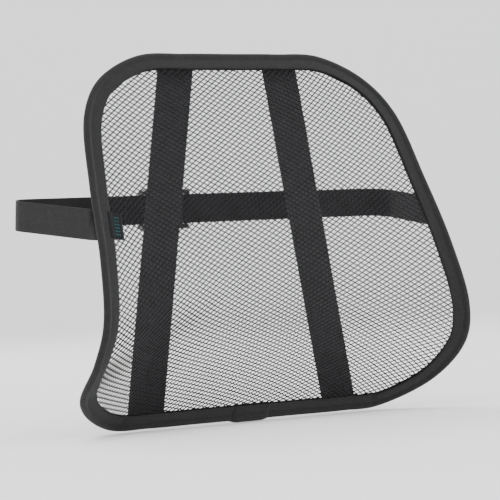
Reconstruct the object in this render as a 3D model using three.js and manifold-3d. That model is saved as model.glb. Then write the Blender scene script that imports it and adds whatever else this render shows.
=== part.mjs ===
// Mesh lumbar support for a chair: a bowed wire loop bound in folded tape, with a stretched net
// panel, two flat bands behind it and an elastic strap that goes round the chair's back.
// Millimetres, +Z up, the user's side towards -Y, the chair's side towards +Y.
// The origin is the middle of the rear plane, where the flat bands lie on the chair's back.

import * as THREE from "three";
import { mergeVertices } from "three/addons/utils/BufferGeometryUtils.js";
import Module from "manifold-3d";

const wasm = await Module();
wasm.setup();

// ---------------------------------------------------------------- driving dimensions

// Wire loop, measured between wire centres.
const LOOP_WIDTH = 445;
const LOOP_HEIGHT = 369;
const LOOP_BOW = 95; // how far the side wires stand ahead of the top and bottom runs
const WIRE_DIAMETER = 5;
const WIRE_END_GAP = 1;

// Crimped sleeve on the two wire ends, at the middle of the bottom run.
const SLEEVE_LENGTH = 26;
const SLEEVE_WALL = 0.8;

// Net panel: its middle stands this far ahead of the rear plane and below the loop's middle.
const NET_THICKNESS = 1.2;
const NET_BOW = 66;
const NET_DROP = 30;

// Edge binding, a tape folded over the wire and the net's edge.
const TAPE_THICKNESS = 1;
const TAPE_WIDTH = 15; // from the wire's centre to the tape's inner edge
const TAPE_LAP = 44;
const TAPE_LAP_THICKNESS = 0.8;
const TAPE_RAMP = 13; // length over which the tape widens for the sleeve

// Flat bands behind the net.
const BAND_WIDTH = 42;
const BAND_THICKNESS = 1.8;
const BAND_TOP_X = 62;
const BAND_BOTTOM_X = 121;

// Sewn-in side label.
const LABEL_WIDTH = 13;
const LABEL_HEIGHT = 28;
const LABEL_THICKNESS = 0.6;

// Elastic strap and the chair's back that it goes round.
const STRAP_WIDTH = 30;
const STRAP_THICKNESS = 1.6;
const STRAP_HEIGHT = 17; // of the strap's swing axis above the loop's middle
const STRAP_RISE = 7.2; // degrees that the strap slopes up towards the chair
const STRAP_STANDOFF = 10; // from the wire's centre back to the swing axis
const CHAIR_WIDTH = 462;
const CHAIR_DEPTH = 60;
const CHAIR_CORNER = 22;
const STRAP_SPREAD = 20; // least distance that the strap turns out beyond its sewn ends
const ANCHOR_FOOT = 10;

// Side-release buckle and strap adjuster, all centred on the strap's rear run.
const BUCKLE_MOUTH_X = -36; // where the plug's shoulder meets the socket
const SOCKET_LENGTH = 41;
const SOCKET_HEIGHT = 43;
const SOCKET_THICKNESS = 12;
const SOCKET_WALL = 2.4;
const CAVITY_LENGTH = 26;
const WINDOW_START = 7;
const WINDOW_LENGTH = 14;
const PLUG_SHOULDER = 8;
const WEB_SLOT = 5;
const WEB_BAR = 4;
const WEB_BAR_THICKNESS = 1.8;
const TONGUE_LENGTH = 20;
const TONGUE_HEIGHT = 8;
const PRONG_LENGTH = 22;
const PRONG_ARM = 3.4;
const PRONG_HEAD = 11;
const ADJUSTER_LENGTH = 12;
const ADJUSTER_WALL = 3;
const LOOP_TAIL = 156; // length of the folded strap behind the plug's bar
const SOCKET_TAIL = 20; // length of the folded strap behind the socket's bar
const RELEASE_TRAVEL = 30;
const ADJUSTER_INSET = 2;

// Clearances between pieces.
const CLEAR = 0.3;
const RUNNING_CLEAR = 0.4;

// Smoothness.
const LOOP_STEPS = 84;
const TURN_WEIGHT = 60; // millimetres of run that count as much as a turn of one radian
const WIRE_SIDES = 8;
const NET_RINGS = [0.86, 0.74, 0.59, 0.42, 0.22];

// ---------------------------------------------------------------- derived sizes

const wireRadius = WIRE_DIAMETER / 2;
const hollowRadius = wireRadius + CLEAR;
const tapeRadius = hollowRadius + TAPE_THICKNESS;
const sleeveRadius = wireRadius + CLEAR + SLEEVE_WALL;
const sleeveSwell = sleeveRadius - wireRadius;
const netHalf = NET_THICKNESS / 2;
const leafInner = netHalf + RUNNING_CLEAR;
const leafOuter = leafInner + TAPE_THICKNESS;
const lapRadius = tapeRadius + sleeveSwell + CLEAR + TAPE_LAP_THICKNESS;
const wireSetback = Math.max(lapRadius, BAND_THICKNESS + CLEAR + tapeRadius);
const radians = THREE.MathUtils.degToRad;

// ---------------------------------------------------------------- materials

const finish = (color, roughness, metalness = 0) =>
  new THREE.MeshStandardMaterial({ color, roughness, metalness });

const springSteel = finish(0x6d6f72, 0.35, 1);
const zincSteel = finish(0x9b9ea1, 0.3, 1);
const bindingTape = finish(0x3d3d3f, 0.9);
const polyesterNet = finish(0x454349, 0.8);
const flatBand = finish(0x343436, 0.85);
const elasticWeb = finish(0x3a3a3b, 0.9);
const labelCloth = finish(0x2c3a3c, 0.85);
const acetal = finish(0x1d1d1f, 0.45);

// ---------------------------------------------------------------- solids

// A closed geometry as a manifold-3d solid.
function toSolid(geometry) {
  const bare = new THREE.BufferGeometry();
  bare.setAttribute("position", geometry.getAttribute("position"));
  bare.setIndex(geometry.index);
  const merged = mergeVertices(bare, 1e-4);
  return new wasm.Manifold(
    new wasm.Mesh({
      numProp: 3,
      vertProperties: merged.attributes.position.array,
      triVerts: new Uint32Array(merged.index.array),
    }),
  );
}

// A manifold-3d solid as a geometry with flat faces.
function toGeometry(solid) {
  const mesh = solid.getMesh();
  const geometry = new THREE.BufferGeometry();
  geometry.setAttribute("position", new THREE.BufferAttribute(mesh.vertProperties, 3));
  geometry.setIndex(new THREE.BufferAttribute(mesh.triVerts, 1));
  const flat = geometry.toNonIndexed();
  flat.computeVertexNormals();
  return flat;
}

const boxSolid = (x0, x1, y0, y1, z0, z1) =>
  toSolid(
    new THREE.BoxGeometry(x1 - x0, y1 - y0, z1 - z0).translate(
      (x0 + x1) / 2,
      (y0 + y1) / 2,
      (z0 + z1) / 2,
    ),
  );

// Turns every face of a closed index list outwards.
function facesOut(positions, index) {
  let volume = 0;
  const corner = [new THREE.Vector3(), new THREE.Vector3(), new THREE.Vector3()];
  for (let i = 0; i < index.length; i += 3) {
    corner.forEach((v, k) => v.fromArray(positions, index[i + k] * 3));
    volume += corner[0].dot(corner[1].clone().cross(corner[2]));
  }
  if (volume > 0) return index;
  return index.map((_, i) => index[i - (i % 3) + 2 - (i % 3)]);
}

function closedGeometry(positions, index) {
  const geometry = new THREE.BufferGeometry();
  geometry.setAttribute("position", new THREE.Float32BufferAttribute(positions, 3));
  geometry.setIndex(facesOut(positions, index));
  geometry.computeVertexNormals();
  return geometry;
}

// A section of [outward, forward] points carried along frames of the loop. sectionAt(frame) gives
// the same number of points at every frame. An open sweep is capped at both ends.
function sweep(frames, sectionAt, closed = false) {
  const positions = [];
  const index = [];
  const sides = sectionAt(frames[0]).length;
  for (const frame of frames) {
    for (const [outward, forward] of sectionAt(frame)) {
      positions.push(...place(frame, outward, forward).toArray());
    }
  }
  const rings = closed ? frames.length : frames.length - 1;
  for (let i = 0; i < rings; i += 1) {
    const next = (i + 1) % frames.length;
    for (let k = 0; k < sides; k += 1) {
      const turn = (k + 1) % sides;
      const a = i * sides + k;
      const b = i * sides + turn;
      const c = next * sides + turn;
      const d = next * sides + k;
      index.push(a, b, c, a, c, d);
    }
  }
  if (!closed) {
    const outline = sectionAt(frames[0]).map(([x, y]) => new THREE.Vector2(x, y));
    const order = THREE.ShapeUtils.area(outline) > 0 ? 1 : -1;
    const last = (frames.length - 1) * sides;
    for (const [a, b, c] of THREE.ShapeUtils.triangulateShape(outline, [])) {
      if (order > 0) index.push(a, c, b, last + a, last + b, last + c);
      else index.push(a, b, c, last + a, last + c, last + b);
    }
  }
  return closedGeometry(positions, index);
}

// ---------------------------------------------------------------- the loop

// Half of the loop, from the middle of the bottom run to the middle of the top run, as shares of
// the half width, the bow and the half height.
const loopShape = [
  [0, 0, -1],
  [0.25, 0, -1],
  [0.54, 0, -1],
  [0.745, 0.02, -0.99],
  [0.962, 0.38, -0.85],
  [1, 0.86, -0.64],
  [0.981, 1, -0.445],
  [0.944, 0.86, -0.103],
  [0.902, 0.55, 0.288],
  [0.837, 0.25, 0.672],
  [0.72, 0.09, 0.86],
  [0.497, 0, 0.988],
  [0.25, 0, 1],
  [0, 0, 1],
];

function loopCurve() {
  const station = ([x, bow, z], side) =>
    new THREE.Vector3(
      (side * x * LOOP_WIDTH) / 2,
      -wireSetback - bow * LOOP_BOW,
      (z * LOOP_HEIGHT) / 2,
    );
  const right = loopShape.map((share) => station(share, 1));
  const left = loopShape.slice(1, -1).reverse();
  const curve = new THREE.CatmullRomCurve3(
    [...right, ...left.map((share) => station(share, -1))],
    true,
    "centripetal",
  );
  curve.arcLengthDivisions = 1500;
  return curve;
}

const wirePath = loopCurve();
const loopLength = wirePath.getLength();
const netMiddle = new THREE.Vector3(0, -NET_BOW, -NET_DROP);

// The wire's place at an arc length from the middle of the bottom run, with the net's own
// directions there: outward in the net's surface, and forward, square to it.
function frameAt(arc) {
  const share = THREE.MathUtils.euclideanModulo(arc / loopLength, 1);
  const origin = wirePath.getPointAt(share);
  origin.y = Math.min(origin.y, -wireSetback); // the curve swings back a little beside each corner
  const along = wirePath.getTangentAt(share);
  const outward = origin.clone().sub(netMiddle);
  outward.y *= 2; // the net's surface is a parabola along each ray from its middle
  outward.addScaledVector(along, -outward.dot(along)).normalize();
  const forward = along.clone().cross(outward).normalize();
  if (forward.y > 0) forward.negate();
  return { arc, origin, along, outward, forward };
}

const place = (frame, outward, forward) =>
  frame.origin
    .clone()
    .addScaledVector(frame.outward, outward)
    .addScaledVector(frame.forward, forward);

// Arc lengths round the whole loop, with stations where the sleeve and the tape's lap end.
function loopArcs() {
  const sleeveEnd = SLEEVE_LENGTH / 2 + CLEAR;
  const lapEnd = Math.max(TAPE_LAP / 2, sleeveEnd + 1);
  const rampEnd = Math.max(lapEnd, sleeveEnd) + TAPE_RAMP;
  const arcs = [-rampEnd, -lapEnd, -sleeveEnd, 0, sleeveEnd, lapEnd, rampEnd];
  const spread = evenTurns(rampEnd, loopLength - rampEnd);
  return [...arcs, ...spread];
}

// Arc lengths between two others, closer together where the loop turns or twists.
function evenTurns(from, to) {
  const samples = 900;
  const arcAt = (i) => from + ((to - from) * i) / samples;
  const reach = [0];
  let last = frameAt(from);
  for (let i = 1; i <= samples; i += 1) {
    const next = frameAt(arcAt(i));
    const turn = next.along.angleTo(last.along) + next.outward.angleTo(last.outward);
    reach.push(reach[i - 1] + (to - from) / samples + TURN_WEIGHT * turn);
    last = next;
  }
  const arcs = [];
  let i = 0;
  for (let step = 1; step < LOOP_STEPS; step += 1) {
    const goal = (reach[samples] * step) / LOOP_STEPS;
    while (reach[i + 1] < goal) i += 1;
    arcs.push(arcAt(i + (goal - reach[i]) / (reach[i + 1] - reach[i])));
  }
  return arcs;
}

const loopFrames = loopArcs().map(frameAt);

const arcFromMiddle = (arc) => Math.min(Math.abs(arc), loopLength - Math.abs(arc));

// How much the tape's hollow widens to clear the sleeve.
function swellAt(arc) {
  const lapEnd = Math.max(TAPE_LAP / 2, SLEEVE_LENGTH / 2 + CLEAR + 1);
  const past = arcFromMiddle(arc) - lapEnd;
  return sleeveSwell * THREE.MathUtils.clamp(1 - past / TAPE_RAMP, 0, 1);
}

const framesBetween = (middle, length, steps) =>
  Array.from({ length: steps + 1 }, (_, i) => frameAt(middle + length * (i / steps - 0.5)));

// The arc length at which the right side wire passes a height.
function arcAtHeight(height) {
  let low = loopLength * 0.15;
  let high = loopLength * 0.45;
  for (let i = 0; i < 40; i += 1) {
    const middle = (low + high) / 2;
    if (frameAt(middle).origin.z < height) low = middle;
    else high = middle;
  }
  return low;
}

const circle = (radius, sides) =>
  Array.from({ length: sides }, (_, i) => {
    const angle = (2 * Math.PI * (i + 0.5)) / sides;
    return [radius * Math.cos(angle), radius * Math.sin(angle)];
  });

function frameWire() {
  const ends = [WIRE_END_GAP / 2, loopLength - WIRE_END_GAP / 2].map(frameAt);
  const inner = loopFrames.filter((f) => f.arc > WIRE_END_GAP);
  const before = loopFrames.filter((f) => f.arc < -WIRE_END_GAP);
  return sweep([ends[0], ...inner, ...before, ends[1]], () => circle(wireRadius, WIRE_SIDES));
}

function jointSleeve() {
  const frames = [-SLEEVE_LENGTH / 2, 0, SLEEVE_LENGTH / 2].map(frameAt);
  const outer = toSolid(sweep(frames, () => circle(sleeveRadius, 12)));
  const longer = [-SLEEVE_LENGTH / 2 - 1, 0, SLEEVE_LENGTH / 2 + 1].map(frameAt);
  const bore = toSolid(sweep(longer, () => circle(wireRadius + CLEAR, 12)));
  return toGeometry(outer.subtract(bore));
}

// ---------------------------------------------------------------- binding tape

// Half of a fold's arc round the wire, from the leaf's start at the front to the outer edge.
function foldArc(radius, leaf, steps) {
  const start = Math.PI - Math.asin(leaf / radius);
  return Array.from({ length: steps + 1 }, (_, i) => {
    const angle = start - (start * i) / steps;
    return [radius * Math.cos(angle), radius * Math.sin(angle)];
  });
}

// A folded tape's section: along the front leaf, round the wire and back along the rear leaf.
function foldedSection(innerRadius, innerLeaf, thickness, reach) {
  const half = [
    [-reach, innerLeaf + thickness],
    ...foldArc(innerRadius + thickness, innerLeaf + thickness, 4),
  ];
  const hollow = [[-reach, innerLeaf], ...foldArc(innerRadius, innerLeaf, 4)];
  const mirror = (points) => points.slice(0, -1).reverse().map(([x, y]) => [x, -y]);
  const outside = [...half, ...mirror(half)];
  const inside = [...hollow, ...mirror(hollow)];
  return [...outside, ...inside.reverse()];
}

const edgeBinding = () =>
  sweep(
    loopFrames,
    (f) => foldedSection(hollowRadius + swellAt(f.arc), leafInner, TAPE_THICKNESS, TAPE_WIDTH),
    true,
  );

// The tape's end, lapped over its start at the middle of the bottom run.
function bindingLap() {
  const frames = [-0.5, -SLEEVE_LENGTH / TAPE_LAP / 2, 0, SLEEVE_LENGTH / TAPE_LAP / 2, 0.5].map(
    (share) => frameAt(share * TAPE_LAP),
  );
  return sweep(frames, () =>
    foldedSection(tapeRadius + sleeveSwell + CLEAR, leafOuter + CLEAR, TAPE_LAP_THICKNESS, TAPE_WIDTH),
  );
}

// ---------------------------------------------------------------- net panel

// A thin saddle between the tape's leaves: the outer rings lie along the tape, the inner rings on
// parabolas from the loop to the net's middle.
function netPanel() {
  const edge = -(sleeveRadius + CLEAR);
  const positions = [];
  const rings = [];
  const addRing = (pointAt) => {
    rings.push(positions.length / 3);
    for (const frame of loopFrames) positions.push(...pointAt(frame).toArray());
  };
  const onNet = (frame, share, side) => {
    const ray = frame.origin.clone().sub(netMiddle);
    const point = netMiddle.clone().addScaledVector(ray, share);
    point.y = netMiddle.y + ray.y * share * share;
    return point.addScaledVector(new THREE.Vector3(0, -1, 0), side * netHalf);
  };
  for (const side of [1, -1]) {
    const shares = side > 0 ? [...NET_RINGS].reverse() : NET_RINGS;
    const leaf = [-(TAPE_WIDTH + 1), edge];
    const along = () =>
      shares.forEach((share) => addRing((frame) => onNet(frame, share, side)));
    const flat = (reaches) =>
      reaches.forEach((reach) => addRing((frame) => place(frame, reach, side * netHalf)));
    if (side > 0) {
      along();
      flat(leaf);
    } else {
      flat([...leaf].reverse());
      along();
    }
  }
  const count = loopFrames.length;
  const index = [];
  for (let r = 0; r < rings.length - 1; r += 1) {
    for (let i = 0; i < count; i += 1) {
      const next = (i + 1) % count;
      const a = rings[r] + i;
      const b = rings[r] + next;
      const c = rings[r + 1] + next;
      const d = rings[r + 1] + i;
      index.push(a, b, c, a, c, d);
    }
  }
  const front = positions.length / 3;
  positions.push(0, -NET_BOW - netHalf, -NET_DROP, 0, -NET_BOW + netHalf, -NET_DROP);
  const last = rings[rings.length - 1];
  for (let i = 0; i < count; i += 1) {
    const next = (i + 1) % count;
    index.push(front, next, i, front + 1, last + i, last + next);
  }
  return closedGeometry(positions, index);
}

// ---------------------------------------------------------------- bands and label

// A flat band behind the net, from the top run to the bottom run, with ends cut level.
function flatBandGeometry() {
  const top = LOOP_HEIGHT / 2 + wireRadius / 2;
  const lean = (BAND_BOTTOM_X - BAND_TOP_X) / LOOP_HEIGHT;
  const across = (BAND_WIDTH / 2) * Math.hypot(1, lean);
  const middleAt = (z) => (BAND_TOP_X + BAND_BOTTOM_X) / 2 - lean * z;
  const outline = new THREE.Shape([
    new THREE.Vector2(middleAt(top) - across, top),
    new THREE.Vector2(middleAt(-top) - across, -top),
    new THREE.Vector2(middleAt(-top) + across, -top),
    new THREE.Vector2(middleAt(top) + across, top),
  ]);
  return new THREE.ExtrudeGeometry(outline, {
    depth: BAND_THICKNESS,
    bevelEnabled: false,
  }).rotateX(Math.PI / 2);
}

// The label is sewn under the tape's front leaf on the left side and lies on the net.
function sideLabel(anchorArc) {
  const start = -(TAPE_WIDTH + CLEAR);
  const low = netHalf + CLEAR;
  const outline = [
    [start - LABEL_WIDTH, low + CLEAR],
    [start, low],
    [start, low + LABEL_THICKNESS],
    [start - LABEL_WIDTH, low + LABEL_THICKNESS + CLEAR],
  ];
  return sweep(framesBetween(loopLength - anchorArc, LABEL_HEIGHT, 2), () => outline);
}

// ---------------------------------------------------------------- strap

const anchorArc = arcAtHeight(STRAP_HEIGHT);
const anchorFrame = frameAt(anchorArc);
const axis = new THREE.Vector3(0, anchorFrame.origin.y + STRAP_STANDOFF, STRAP_HEIGHT);
const junctionX = anchorFrame.origin.x + tapeRadius;

// Plan of the strap, seen from above, in the strap's own frame: straight from the anchor to the
// chair's rear corner, round it, and along the rear face. Lengths are from the swing axis.
const rearRun = CHAIR_DEPTH + STRAP_THICKNESS / 2 - axis.y;
const turnX = Math.max(CHAIR_WIDTH / 2, junctionX + STRAP_SPREAD);
const corner = new THREE.Vector2(turnX - CHAIR_CORNER, rearRun - CHAIR_CORNER);
const toCorner = corner.clone().sub(new THREE.Vector2(junctionX, 0));
const lean = Math.atan2(toCorner.x, toCorner.y) + Math.asin(CHAIR_CORNER / toCorner.length());
const runOut = new THREE.Vector2(Math.sin(lean), Math.cos(lean));
const runSide = new THREE.Vector2(Math.cos(lean), -Math.sin(lean));

// The point of the straight run, at an offset from its middle, where x has a given value.
function runPoint(offset, x) {
  const start = new THREE.Vector2(junctionX, 0).addScaledVector(runSide, offset);
  return start.addScaledVector(runOut, (x - start.x) / runOut.x);
}

// Right half of the strap, ending on the rear run at x = end.
function webbing(end) {
  const half = STRAP_THICKNESS / 2;
  const outline = new THREE.Shape();
  outline.moveTo(...runPoint(-half, junctionX + CLEAR / 2).toArray());
  outline.lineTo(...runPoint(half, junctionX + CLEAR / 2).toArray());
  outline.absarc(corner.x, corner.y, CHAIR_CORNER + half, -lean, Math.PI / 2, false);
  outline.lineTo(end, rearRun + half);
  outline.lineTo(end, rearRun - half);
  outline.absarc(corner.x, corner.y, CHAIR_CORNER - half, Math.PI / 2, -lean, true);
  return new THREE.ExtrudeGeometry(outline, {
    depth: STRAP_WIDTH,
    bevelEnabled: false,
    curveSegments: 8,
  }).translate(0, 0, -STRAP_WIDTH / 2);
}

// The strap's sewn end on the frame: a foot on the tape's rear leaf and a tab back to the joint.
function strapAnchor() {
  const half = STRAP_THICKNESS / 2;
  const reach = anchorFrame.origin.x - TAPE_WIDTH;
  const tab = new THREE.ExtrudeGeometry(
    new THREE.Shape([
      runPoint(-half, junctionX - CLEAR / 2),
      runPoint(half, junctionX - CLEAR / 2),
      runPoint(half, anchorFrame.origin.x - 1),
      runPoint(-half, anchorFrame.origin.x - 1),
    ]),
    { depth: STRAP_WIDTH, bevelEnabled: false },
  )
    .translate(0, 0, -STRAP_WIDTH / 2)
    .rotateX(radians(STRAP_RISE))
    .translate(axis.x, axis.y, axis.z);
  const frames = framesBetween(anchorArc, STRAP_WIDTH, 4);
  const foot = sweep(frames, () => [
    [-ANCHOR_FOOT, -leafOuter - CLEAR],
    [-ANCHOR_FOOT, -leafOuter - CLEAR - STRAP_THICKNESS],
    [tapeRadius - 0.5, -tapeRadius - STRAP_THICKNESS],
    [tapeRadius - 0.5, -leafOuter - CLEAR],
  ]);
  const clearance = sweep(framesBetween(anchorArc, STRAP_WIDTH * 2, 8), () => [
    [-TAPE_WIDTH - CLEAR, leafOuter + CLEAR],
    ...foldArc(tapeRadius + CLEAR, leafOuter + CLEAR, 6),
    ...foldArc(tapeRadius + CLEAR, leafOuter + CLEAR, 6)
      .slice(0, -1)
      .reverse()
      .map(([x, y]) => [x, -y]),
    [-TAPE_WIDTH - CLEAR, -leafOuter - CLEAR],
  ]);
  const joined = toSolid(tab).add(toSolid(foot)).subtract(toSolid(clearance));
  const beyond = boxSolid(reach - 60, junctionX - CLEAR / 2, -400, 400, -400, 400);
  return toGeometry(joined.intersect(beyond));
}

// A strap end folded round a buckle's bar and open towards +X. The bar's middle is at x = 0.
const loopGap = STRAP_THICKNESS + 2 * RUNNING_CLEAR;

function foldedEnd(length) {
  const inner = loopGap / 2;
  const outer = inner + STRAP_THICKNESS;
  const back = -(WEB_BAR / 2 + CLEAR);
  const outline = new THREE.Shape();
  outline.moveTo(length, outer);
  outline.lineTo(back, outer);
  outline.absarc(back, 0, outer, Math.PI / 2, (3 * Math.PI) / 2, false);
  outline.lineTo(length, -outer);
  outline.lineTo(length, -inner);
  outline.lineTo(back, -inner);
  outline.absarc(back, 0, inner, (3 * Math.PI) / 2, Math.PI / 2, true);
  outline.lineTo(length, inner);
  return new THREE.ExtrudeGeometry(outline, {
    depth: STRAP_WIDTH,
    bevelEnabled: false,
    curveSegments: 6,
  }).translate(0, 0, -STRAP_WIDTH / 2);
}

// ---------------------------------------------------------------- buckle

const slotHalf = STRAP_WIDTH / 2 + 1;
const cavityHalf = SOCKET_HEIGHT / 2 - SOCKET_WALL - 2;
const cavityDepth = SOCKET_THICKNESS / 2 - SOCKET_WALL;
const webEnd = WEB_BAR + WEB_SLOT;

// A plate with rounded corners, seen along Y, from x = start to x = end.
function roundedPlate(start, end, height, thickness, radius) {
  const outline = new THREE.Shape();
  const top = height / 2;
  const r = Math.min(radius, (end - start) / 2, top);
  outline.moveTo(start + r, -top);
  outline.lineTo(end - r, -top);
  outline.absarc(end - r, -top + r, r, -Math.PI / 2, 0, false);
  outline.lineTo(end, top - r);
  outline.absarc(end - r, top - r, r, 0, Math.PI / 2, false);
  outline.lineTo(start + r, top);
  outline.absarc(start + r, top - r, r, Math.PI / 2, Math.PI, false);
  outline.lineTo(start, -top + r);
  outline.absarc(start + r, -top + r, r, Math.PI, (3 * Math.PI) / 2, false);
  const bevel = 1.2;
  const plate = new THREE.ExtrudeGeometry(outline, {
    depth: thickness - 2 * bevel,
    bevelThickness: bevel,
    bevelSize: bevel,
    bevelOffset: -bevel,
    bevelSegments: 1,
    curveSegments: 4,
  });
  return toSolid(plate.rotateX(Math.PI / 2).translate(0, thickness / 2 - bevel, 0));
}

// Cuts a strap slot and thins the end to a bar, at the end of a buckle half that starts at x = 0
// and runs towards +X.
function cutWebEnd(body, thickness) {
  const deep = thickness;
  const bar = WEB_BAR_THICKNESS / 2;
  return body
    .subtract(boxSolid(WEB_BAR, webEnd, -deep, deep, -slotHalf, slotHalf))
    .subtract(boxSolid(-1, webEnd, bar, deep, -slotHalf, slotHalf))
    .subtract(boxSolid(-1, webEnd, -deep, -bar, -slotHalf, slotHalf));
}

// The socket's strap end is at x = 0 and its mouth at x = SOCKET_LENGTH.
function buckleSocket() {
  const body = roundedPlate(0, SOCKET_LENGTH, SOCKET_HEIGHT, SOCKET_THICKNESS, 6);
  const cavity = boxSolid(
    SOCKET_LENGTH - CAVITY_LENGTH,
    SOCKET_LENGTH + 1,
    -cavityDepth,
    cavityDepth,
    -cavityHalf,
    cavityHalf,
  );
  const windowEnd = SOCKET_LENGTH - WINDOW_START;
  const windows = [-1, 1].map((side) =>
    boxSolid(
      windowEnd - WINDOW_LENGTH,
      windowEnd,
      -cavityDepth,
      cavityDepth,
      Math.min(side * (cavityHalf - 1), side * SOCKET_HEIGHT),
      Math.max(side * (cavityHalf - 1), side * SOCKET_HEIGHT),
    ),
  );
  const open = windows.reduce((solid, window) => solid.subtract(window), body.subtract(cavity));
  return toGeometry(cutWebEnd(open, SOCKET_THICKNESS));
}

// The plug's shoulder faces -X at x = 0. Its strap end is at x = plugLength.
const plugLength = PLUG_SHOULDER + webEnd;
const tongueDepth = cavityDepth - RUNNING_CLEAR;

function bucklePlug() {
  const body = roundedPlate(-plugLength, 0, SOCKET_HEIGHT - 2, SOCKET_THICKNESS - 1, 4);
  const cut = cutWebEnd(body.translate(plugLength, 0, 0), SOCKET_THICKNESS);
  const turned = cut.rotate(0, 0, 180).translate(plugLength, 0, 0);
  const tongue = boxSolid(
    -TONGUE_LENGTH,
    1,
    -tongueDepth,
    tongueDepth,
    -TONGUE_HEIGHT / 2,
    TONGUE_HEIGHT / 2,
  );
  return toGeometry(turned.add(tongue));
}

// A prong of the plug: its root is at the origin and it points to -X, with its head towards +Z.
const prongRootZ = cavityHalf - RUNNING_CLEAR - 5.6;

function prongGeometry() {
  const tip = -PRONG_LENGTH;
  const half = PRONG_ARM / 2;
  const crown = cavityHalf - RUNNING_CLEAR - prongRootZ;
  const outline = new THREE.Shape();
  outline.moveTo(-CLEAR, -half);
  outline.lineTo(-CLEAR, half);
  outline.lineTo(tip + PRONG_HEAD, half);
  outline.lineTo(tip + PRONG_HEAD - 1.5, crown);
  outline.lineTo(tip + 4, crown);
  outline.quadraticCurveTo(tip, crown - 1, tip, half - 1);
  outline.lineTo(tip, -half);
  const depth = 2 * tongueDepth;
  return new THREE.ExtrudeGeometry(outline, { depth, bevelEnabled: false, curveSegments: 4 })
    .rotateX(Math.PI / 2)
    .translate(0, depth / 2, 0);
}

// The adjuster: a moulded frame that holds the folded strap and the single strap together.
function adjusterGeometry() {
  const layers = loopGap / 2 + STRAP_THICKNESS + RUNNING_CLEAR;
  const openHalf = STRAP_WIDTH / 2 + RUNNING_CLEAR;
  const body = roundedPlate(
    -ADJUSTER_LENGTH / 2,
    ADJUSTER_LENGTH / 2,
    2 * (openHalf + ADJUSTER_WALL),
    2 * (layers + ADJUSTER_WALL - 1),
    3,
  );
  const through = ADJUSTER_LENGTH;
  return toGeometry(
    body.subtract(boxSolid(-through, through, -layers, layers, -openHalf, openHalf)),
  );
}

// ---------------------------------------------------------------- assembly

function named(name, geometry, material) {
  const mesh = new THREE.Mesh(geometry, material);
  mesh.name = name;
  return mesh;
}

function mirrored(mesh) {
  mesh.scale.x = -1;
  return mesh;
}

const frame = new THREE.Group();
frame.add(
  named("frame_wire", frameWire(), springSteel),
  named("wire_joint_sleeve", jointSleeve(), zincSteel),
  named("edge_binding", edgeBinding(), bindingTape),
  named("binding_lap", bindingLap(), bindingTape),
  named("net_panel", netPanel(), polyesterNet),
  named("band_right", flatBandGeometry(), flatBand),
  mirrored(named("band_left", flatBandGeometry(), flatBand)),
  named("side_label", sideLabel(anchorArc), labelCloth),
  named("strap_anchor_right", strapAnchor(), elasticWeb),
  mirrored(named("strap_anchor_left", strapAnchor(), elasticWeb)),
);

// The strap's group is centred on its swing axis, and its rear run is at y = rearRun.
const socketStart = BUCKLE_MOUTH_X - SOCKET_LENGTH;
const plugStart = BUCKLE_MOUTH_X + CLEAR;
const plugBar = plugStart + plugLength - WEB_BAR / 2;
const socketBar = socketStart + WEB_BAR / 2;
const singleEnd = plugBar + WEB_BAR / 2 + STRAP_THICKNESS + RELEASE_TRAVEL + 2;
const adjusterX = plugBar + LOOP_TAIL - ADJUSTER_LENGTH / 2 - ADJUSTER_INSET;

const onRearRun = (mesh, x) => {
  mesh.position.set(x, rearRun, 0);
  return mesh;
};

const socketFold = named("socket_fold", foldedEnd(SOCKET_TAIL), elasticWeb);
socketFold.scale.x = -1;

const plug = new THREE.Group();
plug.position.set(plugStart, rearRun, 0);
plug.add(named("buckle_plug", bucklePlug(), acetal));
for (const [name, side] of [
  ["prong_upper", 1],
  ["prong_lower", -1],
]) {
  const prong = named(name, prongGeometry(), acetal);
  prong.position.z = side * prongRootZ;
  prong.scale.z = side;
  plug.add(prong);
}

const strap = new THREE.Group();
strap.position.copy(axis);
strap.rotation.x = radians(STRAP_RISE);
strap.add(
  named("strap_right", webbing(singleEnd), elasticWeb),
  mirrored(named("strap_left", webbing(-(socketBar - WEB_BAR)), elasticWeb)),
  onRearRun(socketFold, socketBar),
  onRearRun(named("buckle_socket", buckleSocket(), acetal), socketStart),
  onRearRun(named("plug_fold", foldedEnd(LOOP_TAIL), elasticWeb), plugBar),
  onRearRun(named("strap_adjuster", adjusterGeometry(), acetal), adjusterX),
  plug,
);

const lumbarSupport = new THREE.Group();
lumbarSupport.add(frame, strap);

export default lumbarSupport;
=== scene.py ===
import math
from bisect import bisect_right

import bmesh
import bpy
from bpy.props import FloatProperty, FloatVectorProperty, PointerProperty
from mathutils import Matrix, Vector, noise


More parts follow.
